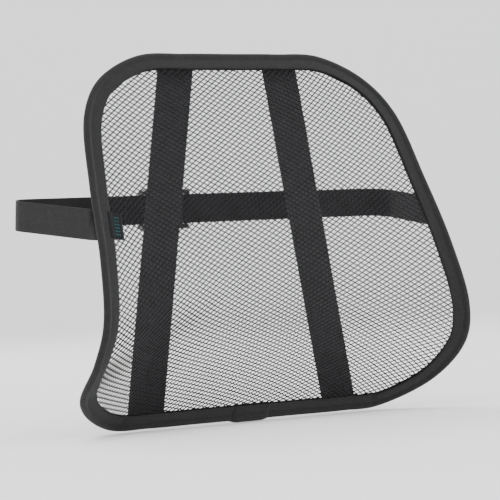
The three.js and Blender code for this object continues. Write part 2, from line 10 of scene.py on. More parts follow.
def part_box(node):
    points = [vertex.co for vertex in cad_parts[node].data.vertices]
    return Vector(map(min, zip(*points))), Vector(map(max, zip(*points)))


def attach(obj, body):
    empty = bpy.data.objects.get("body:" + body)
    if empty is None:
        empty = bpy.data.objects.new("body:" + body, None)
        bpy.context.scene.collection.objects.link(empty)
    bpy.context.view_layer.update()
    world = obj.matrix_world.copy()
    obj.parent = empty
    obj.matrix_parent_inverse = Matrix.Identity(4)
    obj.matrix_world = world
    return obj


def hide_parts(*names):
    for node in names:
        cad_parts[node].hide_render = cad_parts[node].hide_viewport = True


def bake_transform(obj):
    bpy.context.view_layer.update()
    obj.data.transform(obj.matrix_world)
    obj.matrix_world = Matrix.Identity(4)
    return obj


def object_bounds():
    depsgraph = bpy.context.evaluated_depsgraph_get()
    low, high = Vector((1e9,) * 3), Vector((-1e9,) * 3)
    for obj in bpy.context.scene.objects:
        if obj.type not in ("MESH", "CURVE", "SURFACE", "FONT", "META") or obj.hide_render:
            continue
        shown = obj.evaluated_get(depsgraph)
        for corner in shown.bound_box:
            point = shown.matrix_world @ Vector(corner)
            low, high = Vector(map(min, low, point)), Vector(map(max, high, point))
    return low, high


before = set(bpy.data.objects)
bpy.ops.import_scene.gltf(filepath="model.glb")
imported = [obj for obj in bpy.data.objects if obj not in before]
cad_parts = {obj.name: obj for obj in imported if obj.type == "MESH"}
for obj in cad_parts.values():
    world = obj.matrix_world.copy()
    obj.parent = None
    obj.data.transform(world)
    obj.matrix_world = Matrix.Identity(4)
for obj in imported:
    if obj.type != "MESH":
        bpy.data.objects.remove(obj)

bl_info = {
    "name": "Mesh lumbar support",
    "version": (1, 0, 0),
    "blender": (4, 5, 0),
    "location": "3D View > Sidebar > Lumbar support",
    "description": "Builds a mesh lumbar support round its packed frame",
    "category": "Object",
}

CAD_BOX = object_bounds()
MM = 0.001

# ---------------------------------------------------------------- sizes shared with the frame

# Half of the wire loop, from the middle of the bottom run to the middle of the top run, as shares
# of the half width, the bow and the half height.
LOOP_SHAPE = (
    (0, 0, -1), (0.25, 0, -1), (0.54, 0, -1), (0.745, 0.02, -0.99), (0.962, 0.38, -0.85),
    (1, 0.86, -0.64), (0.981, 1, -0.445), (0.944, 0.86, -0.103), (0.902, 0.55, 0.288),
    (0.837, 0.25, 0.672), (0.72, 0.09, 0.86), (0.497, 0, 0.988), (0.25, 0, 1), (0, 0, 1),
)
LOOP_WIDTH = 445 * MM
LOOP_HEIGHT = 369 * MM
LOOP_BOW = 95 * MM
WIRE_SETBACK = 6 * MM
NET_MIDDLE = Vector((0, -66, -30)) * MM

TAPE_REACH = 15 * MM  # from the wire's centre to the tape's inner edge
TAPE_LEAF = 1.5 * MM  # from the net's middle to the middle of a leaf
TAPE_FOLD = 3.3 * MM  # radius of the fold round the wire, at the tape's middle
TAPE_HALF = 0.5 * MM  # half of the tape's thickness
NET_EDGE = 13.82 * MM  # from the wire's centre to the net's cut edge, just past the inner seam
SLEEVE_SWELL = 1.1 * MM
SLEEVE_FULL = 14 * MM  # from the middle of the bottom run to where the swell begins to fall
SLEEVE_END = 26 * MM  # and to where it ends
LAP_HALF = 22 * MM
LAP_STEP = 0.95 * MM  # from the middle of the tape to the middle of the end lapped over it
INNER_SEAM = 14.1 * MM  # from the wire's centre to the tape's two rows of stitches
OUTER_SEAM = 5.2 * MM
SEAM_PINCH = 0.22 * MM  # how far a row of stitches draws the leaves in
SEAM_PINCH_REACH = 1.6 * MM
SEAM_SUNK = 0.1 * MM  # how deep a row of stitches lies in the tape
BAND_SLANT = 1.0127  # a splayed band's level width over its width square to its edges

SWING_AXIS = Vector((0, -63.87, 17)) * MM
STRAP_RISE = math.radians(7.2)
STRAP_WIDTH = 30 * MM
JUNCTION_X = 209.505 * MM
REAR_RUN = 124.67 * MM
CORNER_X = 209 * MM
CORNER_RADIUS = 22 * MM
STRAP_LEAN = 0.21103
STRAP_SEWN_GAP = 0.35 * MM  # between the tape's rear leaf and the strap sewn on it
STRAP_FOLD_GAP = 0.75 * MM  # between the tape's fold and the strap that passes it
GATHER_FULL = 12 * MM  # from the strap's middle, along the tape that it gathers
GATHER_END = 42 * MM
BAR_GAP = 1.2 * MM  # from a buckle bar's middle plane to the web folded round it
BAR_BACK = 2.3 * MM  # from a bar's middle to the centre of the fold's bend
SOCKET_BAR_X = -75 * MM
PLUG_BAR_X = -20.7 * MM
SINGLE_END_X = 14.9 * MM

LABEL_WIDTH = 13 * MM
LABEL_HEIGHT = 28 * MM
LABEL_THICKNESS = 0.6 * MM
LABEL_SEAM = 3.5 * MM  # of its cloth that is sewn down on the tape
LABEL_START = 11 * MM  # from the wire's centre inward to the label's sewn edge
LABEL_LIFT = 1.25 * MM  # of its free part off the net's middle
LABEL_STEP = 1.35 * MM  # and how much higher it lies on the tape
LABEL_CURL = 0.35 * MM
MARK_ROWS = (18.6, 20.8, 23.0)  # millimetres inward from the wire's centre
MARK_HALF = 9 * MM
MARK_LIFT = 1.75 * MM

VIEW_SHIFT = Vector((15.0, -13.6, 0)) * MM  # from the origin to the view's middle, in the view
LAMPS = (  # name, place, width in metres, power in watts
    ("key", (-1.9, -2.2, 1.9), 1.6, 50),
    ("fill", (2.3, -1.9, 0.9), 1.8, 26),
    ("back", (0.4, 2.2, 1.9), 1.8, 34),
)


# ---------------------------------------------------------------- properties

def linear(code):
    """An sRGB hex colour as linear red, green and blue."""
    shares = (int(code[i:i + 2], 16) / 255 for i in (1, 3, 5))
    return tuple(c / 12.92 if c <= 0.04045 else ((c + 0.055) / 1.055) ** 2.4 for c in shares)


def length(name, description, mm):
    return FloatProperty(
        name=name, description=description, default=mm * MM, unit="LENGTH", subtype="DISTANCE"
    )


def colour(name, description, code):
    return FloatVectorProperty(
        name=name, description=description, default=linear(code), subtype="COLOR", min=0, max=1
    )


def angle(name, description, degrees):
    return FloatProperty(
        name=name, description=description, default=math.radians(degrees), unit="ROTATION",
        subtype="ANGLE",
    )


class NetLooks(bpy.types.PropertyGroup):
    """Sizes and colour of the knitted net."""

    pitch: length("Mesh pitch", "Distance between knots of one row", 8.865)
    row: length("Row pitch", "Distance between rows of knots", 2.5374)
    strand: length("Strand width", "Width of a strand between knots", 1.45)
    depth: length("Strand depth", "Thickness of a strand, square to the net", 1.3)
    tint: colour("Yarn colour", "Colour of the net's polyester yarn", "#1c1b1e")


class TapeLooks(bpy.types.PropertyGroup):
    """Sizes and colour of the edge tape."""

    thickness: length("Tape thickness", "Thickness of the folded tape", 1.0)
    rumple: length("Rumple", "How far the tape's leaves stand proud in rumples", 0.22)
    tint: colour("Tape colour", "Colour of the woven polyester tape", "#242425")


class BandLooks(bpy.types.PropertyGroup):
    """Sizes and colour of the flat bands."""

    width: length("Band width", "Width of a flat band", 42.0)
    thickness: length("Band thickness", "Thickness of a flat band", 1.7)
    tint: colour("Band colour", "Colour of the woven band", "#3a3a3b")


class StrapLooks(bpy.types.PropertyGroup):
    """Sizes and colour of the elastic strap."""

    thickness: length("Strap thickness", "Thickness of the elastic webbing", 1.6)
    tint: colour("Strap colour", "Colour of the elastic webbing", "#242425")


class StitchLooks(bpy.types.PropertyGroup):
    """Sizes and colours of the sewing."""

    length: length("Stitch length", "Length of one stitch that shows", 2.6)
    pitch: length("Stitch pitch", "Distance from one stitch to the next", 3.5)
    thread: length("Thread width", "Diameter of the sewing thread", 0.42)
    tint: colour("Thread colour", "Colour of the sewing thread", "#2a2a2b")
    mark: colour("Label mark colour", "Colour of the tacks on the label", "#2c8489")


class HardwareLooks(bpy.types.PropertyGroup):
    """Colours of the buckle, the label's cloth and the wire."""

    plastic: colour("Buckle colour", "Colour of the moulded acetal", "#111113")
    label: colour("Label colour", "Colour of the woven label", "#121315")
    steel: colour("Wire colour", "Colour of the spring steel", "#7c7e80")
    zinc: colour("Sleeve colour", "Colour of the zinc-plated sleeve", "#a9acae")


class StageLooks(bpy.types.PropertyGroup):
    """Camera, floor and lights."""

    focal: FloatProperty(
        name="Focal length", description="Focal length of the camera", default=176.5, unit="CAMERA"
    )
    distance: FloatProperty(
        name="Distance", description="Camera's distance from the support", default=2.5267,
        unit="LENGTH", subtype="DISTANCE",
    )
    azimuth: angle("Azimuth", "Camera's turn round the support", 33.67)
    elevation: angle("Elevation", "Camera's height as an angle", -0.56)
    roll: angle("Roll", "Camera's turn about its own line of sight", -2.861)
    floor: colour("Floor colour", "Colour of the pale floor", "#fdfdfd")


GROUPS = {
    "net": NetLooks,
    "tape": TapeLooks,
    "band": BandLooks,
    "strap": StrapLooks,
    "stitch": StitchLooks,
    "hardware": HardwareLooks,
    "stage": StageLooks,
}


def looks(context, group):
    return getattr(context.scene, "lumbar_" + group)


# ---------------------------------------------------------------- the loop

class LoopPath:
    """The wire's centre line, with the net's own directions along it."""

    def __init__(self, steps=64):
        right = [
            Vector((x * LOOP_WIDTH / 2, -WIRE_SETBACK - bow * LOOP_BOW, z * LOOP_HEIGHT / 2))
            for x, bow, z in LOOP_SHAPE
        ]
        left = [Vector((-p.x, p.y, p.z)) for p in reversed(right[1:-1])]
        stations = right + left
        count = len(stations)
        self.points = []
        for i in range(count):
            quad = [stations[(i + k) % count] for k in (-1, 0, 1, 2)]
            self.points += [self.between(quad, step / steps) for step in range(steps)]
        for point in self.points:
            point.y = min(point.y, -WIRE_SETBACK)
        self.points.append(self.points[0].copy())
        self.reach = [0.0]
        for a, b in zip(self.points, self.points[1:]):
            self.reach.append(self.reach[-1] + (b - a).length)
        self.length = self.reach[-1]

    @staticmethod
    def between(quad, share):
        """A point of the centripetal spline between the second and third of four stations."""
        gaps = [math.sqrt((b - a).length) for a, b in zip(quad, quad[1:])]
        a, b, c, d = quad
        start = (b - a) / gaps[0] - (c - a) / (gaps[0] + gaps[1]) + (c - b) / gaps[1]
        end = (c - b) / gaps[1] - (d - b) / (gaps[1] + gaps[2]) + (d - c) / gaps[2]
        start, end = start * gaps[1], end * gaps[1]
        square = 3 * (c - b) - 2 * start - end
        cube = 2 * (b - c) + start + end
        return b + share * start + share * share * square + share ** 3 * cube

    def at(self, arc):
        arc %= self.length
        i = min(bisect_right(self.reach, arc) - 1, len(self.points) - 2)
        share = (arc - self.reach[i]) / (self.reach[i + 1] - self.reach[i])
        return self.points[i].lerp(self.points[i + 1], share)

    def frame(self, arc):
        """Origin, along, outward in the net's surface, and forward, square to it."""
        origin = self.at(arc)
        step = 1.5 * MM
        along = (self.at(arc + step) - self.at(arc - step)).normalized()
        outward = origin - NET_MIDDLE
        outward.y *= 2
        outward = (outward - along * outward.dot(along)).normalized()
        forward = along.cross(outward).normalized()
        if forward.y > 0:
            forward.negate()
        return origin, along, outward, forward

    def place(self, arc, out, ahead):
        origin, _, outward, forward = self.frame(arc)
        return origin + outward * out + forward * ahead

    def arc_at_height(self, height):
        """Arc length at which the right side wire passes a height."""
        low, high = self.length * 0.15, self.length * 0.45
        for _ in range(40):
            middle = (low + high) / 2
            if self.at(middle).z < height:
                low = middle
            else:
                high = middle
        return low

    def from_middle(self, arc):
        """Arc length from the middle of the bottom run, whichever way is shorter."""
        arc %= self.length
        return min(arc, self.length - arc)


LOOP = LoopPath()
ANCHOR_ARC = LOOP.arc_at_height(SWING_AXIS.z)


def check_loop():
    """The loop has to be the packed wire's own path."""
    low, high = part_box("frame_wire")
    radius = 2.5 * MM
    for axis in range(3):
        least = min(p[axis] for p in LOOP.points) - radius
        most = max(p[axis] for p in LOOP.points) + radius
        if abs(least - low[axis]) > MM or abs(most - high[axis]) > MM:
            raise RuntimeError(f"the loop isn't the packed wire's along axis {axis}")


# ---------------------------------------------------------------- meshes

def smooth_step(value, start, end):
    share = min(max((value - start) / (end - start), 0), 1)
    return share * share * (3 - 2 * share)


def mesh_object(name, points, faces, material, uvs=None, edges=()):
    """A mesh piece at the origin, with its faces pointing outwards."""
    mesh = bpy.data.meshes.new(name)
    mesh.from_pydata([tuple(p) for p in points], list(edges), faces)
    if uvs:
        layer = mesh.uv_layers.new(name="UVMap")
        flat = [value for pair in uvs for value in pair]
        layer.data.foreach_set("uv", flat)
    if faces:
        solid = bmesh.new()
        solid.from_mesh(mesh)
        bmesh.ops.recalc_face_normals(solid, faces=solid.faces)
        solid.to_mesh(mesh)
        solid.free()
        mesh.polygons.foreach_set("use_smooth", [True] * len(mesh.polygons))
    if material:
        mesh.materials.append(material)
    piece = bpy.data.objects.new(name, mesh)
    bpy.context.scene.collection.objects.link(piece)
    return piece


def swept(name, rings, material, closed=False):
    """A closed skin over rings of points, with UVs in metres along and across."""
    sides = len(rings[0])
    points = [p for ring in rings for p in ring]
    reach = [0.0]
    for a, b in zip(rings, rings[1:] + rings[:1]):
        reach.append(reach[-1] + (b[0] - a[0]).length)
    girth = [0.0]
    for a, b in zip(rings[0], rings[0][1:] + rings[0][:1]):
        girth.append(girth[-1] + (b - a).length)
    faces, uvs = [], []
    for i in range(len(rings) if closed else len(rings) - 1):
        after = (i + 1) % len(rings)
        for k in range(sides):
            turn = (k + 1) % sides
            faces.append((i * sides + k, i * sides + turn, after * sides + turn, after * sides + k))
            uvs += [(reach[i], girth[k]), (reach[i], girth[k + 1])]
            uvs += [(reach[i + 1], girth[k + 1]), (reach[i + 1], girth[k])]
    if not closed:
        for start in (0, (len(rings) - 1) * sides):
            for k in range(1, sides // 2):
                quad = (k - 1, k, sides - 1 - k, sides - k)
                faces.append(tuple(start + q for q in quad))
                uvs += [(reach[0], girth[q]) for q in quad]
    return mesh_object(name, points, faces, material, uvs)


def web(name, columns, thickness, material, selvedge=0.25):
    """Flat webbing along a grid of middle points: columns across, stations along."""
    across = len(columns)
    stations = len(columns[0])
    rings = []
    for i in range(stations):
        row = [column[i] for column in columns]
        ahead = [column[min(i + 1, stations - 1)] - column[max(i - 1, 0)] for column in columns]
        upper, lower = [], []
        for j, point in enumerate(row):
            side = row[min(j + 1, across - 1)] - row[max(j - 1, 0)]
            normal = ahead[j].cross(side).normalized()
            edge = abs(2 * j / (across - 1) - 1)
            half = thickness / 2 * (1 - (1 - selvedge) * smooth_step(edge, 0.93, 1.02))
            upper.append(point + normal * half)
            lower.append(point - normal * half)
        rings.append(upper + lower[::-1])
    return swept(name, rings, material)


def spread(width, count):
    """Places across a web, closer together at its edges."""
    return [
        width / 2 * math.sin(math.pi / 2 * (2 * j / (count - 1) - 1)) for j in range(count)
    ]


def rounded_path(corners, step):
    """A smooth line through corner points, at about even steps."""
    ends = [2 * corners[0] - corners[1], *corners, 2 * corners[-1] - corners[-2]]
    line = []
    for i in range(1, len(ends) - 2):
        count = max(2, round((ends[i + 1] - ends[i]).length / step))
        line += [LoopPath.between(ends[i - 1:i + 3], k / count) for k in range(count)]
    return [*line, corners[-1]]


# ---------------------------------------------------------------- nodes

def add(tree, kind, inputs=(), **settings):
    """A node with its settings, and with its inputs linked or given values."""
    node = tree.nodes.new(kind)
    for key, value in settings.items():
        setattr(node, key, value)
    for key, value in dict(inputs).items():
        if isinstance(value, bpy.types.NodeSocket):
            tree.links.new(value, node.inputs[key])
        else:
            node.inputs[key].default_value = value
    return node


def geometry_tree(name, sizes):
    """An empty geometry tree with a geometry input, sizes and a material."""
    tree = bpy.data.node_groups.new(name, "GeometryNodeTree")
    tree.interface.new_socket("Geometry", in_out="INPUT", socket_type="NodeSocketGeometry")
    for label in sizes:
        tree.interface.new_socket(label, in_out="INPUT", socket_type="NodeSocketFloat")
    tree.interface.new_socket("Material", in_out="INPUT", socket_type="NodeSocketMaterial")
    tree.interface.new_socket("Geometry", in_out="OUTPUT", socket_type="NodeSocketGeometry")
    return tree, add(tree, "NodeGroupInput").outputs


def end_tree(tree, geometry, given):
    """Ends a tree in real, smooth geometry with its material."""
    real = add(tree, "GeometryNodeRealizeInstances", {0: geometry})
    smooth = add(tree, "GeometryNodeSetShadeSmooth", {0: real.outputs[0]})
    painted = add(
        tree, "GeometryNodeSetMaterial", {0: smooth.outputs[0], "Material": given["Material"]}
    )
    add(tree, "NodeGroupOutput", {0: painted.outputs[0]})


def grow(piece, tree, values):
    """Runs a geometry tree on a piece and keeps the result as a plain mesh."""
    modifier = piece.modifiers.new(tree.name, "NODES")
    modifier.node_group = tree
    for item in tree.interface.items_tree:
        if item.in_out == "INPUT" and item.name in values:
            modifier[item.identifier] = values[item.name]
    graph = bpy.context.evaluated_depsgraph_get()
    mesh = bpy.data.meshes.new_from_object(piece.evaluated_get(graph), depsgraph=graph)
    piece.modifiers.clear()
    piece.data = mesh
    if not mesh.polygons:
        raise RuntimeError(f"{piece.name} came out empty")
    return piece


# ---------------------------------------------------------------- materials

def principled(name, tint, roughness, **constants):
    material = bpy.data.materials.new(name)
    material.use_nodes = True
    shader = material.node_tree.nodes["Principled BSDF"]
    shader.inputs["Base Color"].default_value = (*tint, 1)
    shader.inputs["Roughness"].default_value = roughness
    for label, value in constants.items():
        shader.inputs[label.replace("_", " ")].default_value = value
    return material, material.node_tree, shader


def shade(tree, shader, tint, height, flecks, relief, dark=0.58, light=1.42):
    """Colour that varies with the flecks and the thread's height, and the relief as a bump."""
    mixed = add(
        tree, "ShaderNodeMix",
        {"Factor": flecks, 6: (*(c * dark for c in tint), 1), 7: (*(c * light for c in tint), 1)},
        data_type="RGBA",
    )
    tree.links.new(mixed.outputs[2], shader.inputs["Base Color"])
    bump = add(
        tree, "ShaderNodeBump", {"Strength": 0.9, "Distance": relief, "Height": height}
    )
    tree.links.new(bump.outputs[0], shader.inputs["Normal"])


def vary_gloss(tree, shader, patches, low, high):
    """Roughness that wanders between two values with the patches."""
    rough = add(tree, "ShaderNodeMapRange", {0: patches, 1: 0.3, 2: 0.7, 3: low, 4: high})
    tree.links.new(rough.outputs[0], shader.inputs["Roughness"])


def woven(name, tint, along, across, relief, sheen=0.08, roughness=0.9, wander=0.5):
    """Woven polyester: threads along and across in the piece's own UVs, given in metres."""
    material, tree, shader = principled(
        name, tint, roughness, Sheen_Weight=sheen, Sheen_Roughness=0.5, Specular_IOR_Level=0.14
    )
    place = add(tree, "ShaderNodeUVMap", uv_map="UVMap")
    axes = add(tree, "ShaderNodeSeparateXYZ", {0: place.outputs[0]})
    waves = []
    for output, pitch in ((0, along), (1, across)):
        turn = add(
            tree, "ShaderNodeMath", {0: axes.outputs[output], 1: math.pi / pitch},
            operation="MULTIPLY",
        )
        waves.append(add(tree, "ShaderNodeMath", {0: turn.outputs[0]}, operation="SINE").outputs[0])
    weave = add(tree, "ShaderNodeMath", {0: waves[0], 1: waves[1]}, operation="MULTIPLY")
    height = add(tree, "ShaderNodeMath", {0: weave.outputs[0]}, operation="ABSOLUTE")
    spot = add(tree, "ShaderNodeTexCoord")
    patches = add(
        tree, "ShaderNodeTexNoise",
        {"Vector": spot.outputs["Object"], "Scale": 1 / (4 * MM), "Detail": 4, "Roughness": 0.65},
    )
    grain = add(
        tree, "ShaderNodeTexNoise",
        {"Vector": spot.outputs["Object"], "Scale": 1 / (1.1 * MM), "Detail": 2},
    )
    blend = add(
        tree, "ShaderNodeMath", {0: grain.outputs[0], 1: wander, 2: patches.outputs[0]},
        operation="MULTIPLY_ADD",
    )
    flecks = add(
        tree, "ShaderNodeMapRange",
        {0: blend.outputs[0], 1: 0.45, 2: 1.08, 3: 0.0, 4: 1.0},
    )
    lifted = add(
        tree, "ShaderNodeMath", {0: grain.outputs[0], 1: 0.6, 2: height.outputs[0]},
        operation="MULTIPLY_ADD",
    )
    shade(tree, shader, tint, lifted.outputs[0], flecks.outputs[0], relief)
    vary_gloss(tree, shader, patches.outputs[0], roughness - 0.1, min(roughness + 0.08, 1))
    return material


def yarn(name, tint, twist, relief, sheen=0.1, roughness=0.85):
    """Spun or filament yarn: fine twisted filaments and a little change of colour."""
    material, tree, shader = principled(
        name, tint, roughness, Sheen_Weight=sheen, Sheen_Roughness=0.4, Specular_IOR_Level=0.16
    )
    spot = add(tree, "ShaderNodeTexCoord")
    patches = add(
        tree, "ShaderNodeTexNoise",
        {"Vector": spot.outputs["Object"], "Scale": 1 / (14 * MM), "Detail": 3},
    )
    strands = add(
        tree, "ShaderNodeTexNoise",
        {"Vector": spot.outputs["Object"], "Scale": 1 / twist, "Detail": 2, "Distortion": 0.6},
    )
    flecks = add(
        tree, "ShaderNodeMath", {0: strands.outputs[0], 1: 0.6, 2: patches.outputs[0]},
        operation="MULTIPLY_ADD",
    )
    spread_out = add(
        tree, "ShaderNodeMapRange", {0: flecks.outputs[0], 1: 0.5, 2: 1.1, 3: 0.0, 4: 1.0}
    )
    shade(tree, shader, tint, strands.outputs[0], spread_out.outputs[0], relief)
    return material


def moulded(name, tint, grain, roughness):
    """Injection-moulded plastic with a spark-eroded grain and polished high spots."""
    material, tree, shader = principled(name, tint, roughness, IOR=1.48, Specular_IOR_Level=0.5)
    spot = add(tree, "ShaderNodeTexCoord")
    pits = add(
        tree, "ShaderNodeTexNoise",
        {"Vector": spot.outputs["Object"], "Scale": 1 / grain, "Detail": 3, "Roughness": 0.7},
    )
    wear = add(
        tree, "ShaderNodeTexNoise",
        {"Vector": spot.outputs["Object"], "Scale": 1 / (7 * MM), "Detail": 2},
    )
    shade(tree, shader, tint, pits.outputs[0], wear.outputs[0], 0.03 * MM, 0.85, 1.3)
    vary_gloss(tree, shader, wear.outputs[0], roughness - 0.08, roughness + 0.12)
    return material


def metal(name, tint, roughness, streak):
    """Drawn or plated steel: fine drawing lines and a slight change of gloss."""
    material, tree, shader = principled(name, tint, roughness, Metallic=1.0)
    spot = add(tree, "ShaderNodeTexCoord")
    lines = add(
        tree, "ShaderNodeTexNoise",
        {"Vector": spot.outputs["Object"], "Scale": 1 / streak, "Detail": 4, "Roughness": 0.6},
    )
    shade(tree, shader, tint, lines.outputs[0], lines.outputs[0], 0.02 * MM, 0.8, 1.1)
    vary_gloss(tree, shader, lines.outputs[0], roughness - 0.06, roughness + 0.1)
    return material


def repaint(node, material):
    """Gives a packed node its finished material."""
    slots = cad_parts[node].material_slots
    if not slots:
        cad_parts[node].data.materials.append(material)
    for slot in slots:
        slot.material = material


# ---------------------------------------------------------------- stitching

def stitch_tree():
    """Stitches that follow lines sewn on a surface, whose normals are the attribute up."""
    tree, given = geometry_tree("Stitches", ["Stitch Length", "Stitch Pitch", "Thread Width"])
    half = add(
        tree, "ShaderNodeMath", {0: given["Stitch Length"], 1: 0.5}, operation="MULTIPLY"
    )
    back = add(tree, "ShaderNodeMath", {0: half.outputs[0], 1: -1.0}, operation="MULTIPLY")
    sunk = add(tree, "ShaderNodeMath", {0: given["Thread Width"], 1: -0.55}, operation="MULTIPLY")
    radius = add(tree, "ShaderNodeMath", {0: given["Thread Width"], 1: 0.5}, operation="MULTIPLY")
    start = add(tree, "ShaderNodeCombineXYZ", {0: back.outputs[0], 2: sunk.outputs[0]})
    top = add(tree, "ShaderNodeCombineXYZ", {2: given["Thread Width"]})
    end = add(tree, "ShaderNodeCombineXYZ", {0: half.outputs[0], 2: sunk.outputs[0]})
    arch = add(
        tree, "GeometryNodeCurveQuadraticBezier",
        {"Resolution": 4, "Start": start.outputs[0], "Middle": top.outputs[0],
         "End": end.outputs[0]},
    )
    thread = add(
        tree, "GeometryNodeCurvePrimitiveCircle", {"Resolution": 5, "Radius": radius.outputs[0]}
    )
    one = add(
        tree, "GeometryNodeCurveToMesh",
        {"Curve": arch.outputs[0], "Profile Curve": thread.outputs[0], "Fill Caps": True},
    )
    line = add(tree, "GeometryNodeMeshToCurve", {0: given["Geometry"]})
    even = add(
        tree, "GeometryNodeResampleCurve",
        {"Curve": line.outputs[0], "Length": given["Stitch Pitch"]}, mode="LENGTH",
    )
    up = add(tree, "GeometryNodeInputNamedAttribute", {0: "up"}, data_type="FLOAT_VECTOR")
    along = add(tree, "GeometryNodeInputTangent")
    turned = add(
        tree, "FunctionNodeAxesToRotation", {0: up.outputs[0], 1: along.outputs[0]},
        primary_axis="Z", secondary_axis="X",
    )
    sewn = add(
        tree, "GeometryNodeInstanceOnPoints",
        {"Points": even.outputs[0], "Instance": one.outputs[0], "Rotation": turned.outputs[0]},
    )
    end_tree(tree, sewn.outputs[0], given)
    return tree


def sew(name, rows, body, material, pitch=None, size=None, closed=False):
    """Rows of stitches as one piece. Each row is a list of points with their upward directions."""
    made = looks(bpy.context, "stitch")
    points, ups, edges = [], [], []
    for row in rows:
        first = len(points)
        points += [p for p, _ in row]
        ups += [u for _, u in row]
        edges += [(first + i, first + i + 1) for i in range(len(row) - 1)]
        if closed:
            edges.append((len(points) - 1, first))
    piece = mesh_object(name, points, [], None, edges=edges)
    attribute = piece.data.attributes.new("up", "FLOAT_VECTOR", "POINT")
    attribute.data.foreach_set("vector", [value for up in ups for value in up.normalized()])
    tree = bpy.data.node_groups.get("Stitches") or stitch_tree()
    grow(piece, tree, {
        "Stitch Length": size or made.length,
        "Stitch Pitch": pitch or made.pitch,
        "Thread Width": made.thread,
        "Material": material,
    })
    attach(piece, body)
    return piece


def thread_material():
    """Bonded polyester thread: round, tight and a little brighter than the tape it sews."""
    return bpy.data.materials.get("bonded polyester thread, twisted") or yarn(
        "bonded polyester thread, twisted", looks(bpy.context, "stitch").tint, 0.3 * MM, 0.1 * MM
    )


# ---------------------------------------------------------------- edge tape

def swell_at(arc):
    """How far the tape's fold widens over the crimped sleeve."""
    return SLEEVE_SWELL * (1 - smooth_step(LOOP.from_middle(arc), SLEEVE_FULL, SLEEVE_END))


def strap_pull(arc):
    """How near a place on the tape is to the strap's sewn end, from none to one."""
    away = min(abs(arc - ANCHOR_ARC), abs(LOOP.length - arc - ANCHOR_ARC))
    return 1 - smooth_step(away, GATHER_FULL, GATHER_END)


def rumple(arc, side, out, amount):
    """Soft waves in a tape's leaf, none at the fold and most at its free edge."""
    loose = smooth_step(-out, 3.5 * MM, TAPE_REACH)
    where = Vector((arc / (24 * MM), out / (9 * MM), 7.3 * side))
    small = Vector((arc / (9 * MM), out / (6 * MM), 3.1 * side))
    wave = noise.noise(where) + 0.4 * noise.noise(small)
    clear = smooth_step(LOOP.from_middle(arc), LAP_HALF, LAP_HALF + 8 * MM)
    # The strap gathers the front leaf and presses the rear one flat.
    pull = 1.9 if side > 0 else -1
    return amount * loose * wave * clear * (1 + pull * strap_pull(arc))


def tape_ring(arc, thickness, fold, leaf, amount):
    """The folded tape's section: its outside from the front edge to the rear one, then inside."""
    lines = []
    for offset in (thickness / 2, -thickness / 2):
        line = []
        radius = fold + offset
        gap = leaf + offset
        start = math.pi - math.asin(min(gap / radius, 1))
        reach = TAPE_REACH + 0.25 * MM * noise.noise(Vector((arc / (6 * MM), 0, offset)))
        leaf_end = radius * math.cos(start)
        for side in (1, -1):
            half = []
            for k in range(9):
                out = -reach + (reach + leaf_end) * k / 8
                near_seam = min(abs(out + INNER_SEAM), abs(out + OUTER_SEAM))
                pinch = SEAM_PINCH * (1 - smooth_step(near_seam, 0, SEAM_PINCH_REACH))
                edge = 0.35 * thickness * (1 - smooth_step(out + reach, 0, 0.9 * MM))
                ahead = gap - pinch - (edge if offset > 0 else -edge)
                half.append((out, side * (ahead + rumple(arc, side, out, amount))))
            for k in range(1, 7):
                angle = start * (1 - k / 6)
                half.append((radius * math.cos(angle), side * radius * math.sin(angle)))
            line.append(half)
        lines.append(line[0] + line[1][:-1][::-1])
    outside, inside = lines
    return [LOOP.place(arc, out, ahead) for out, ahead in outside + inside[::-1]]


def seam_row(arcs, out, lift, side):
    """A line on one leaf of the tape, at a distance outward from the wire's centre."""
    row = []
    for arc in arcs:
        origin, _, outward, forward = LOOP.frame(arc)
        up = forward * side
        over = LAP_STEP - SEAM_SUNK if LOOP.from_middle(arc) < LAP_HALF else 0
        row.append((origin + outward * out + up * (lift + over), up))
    return row


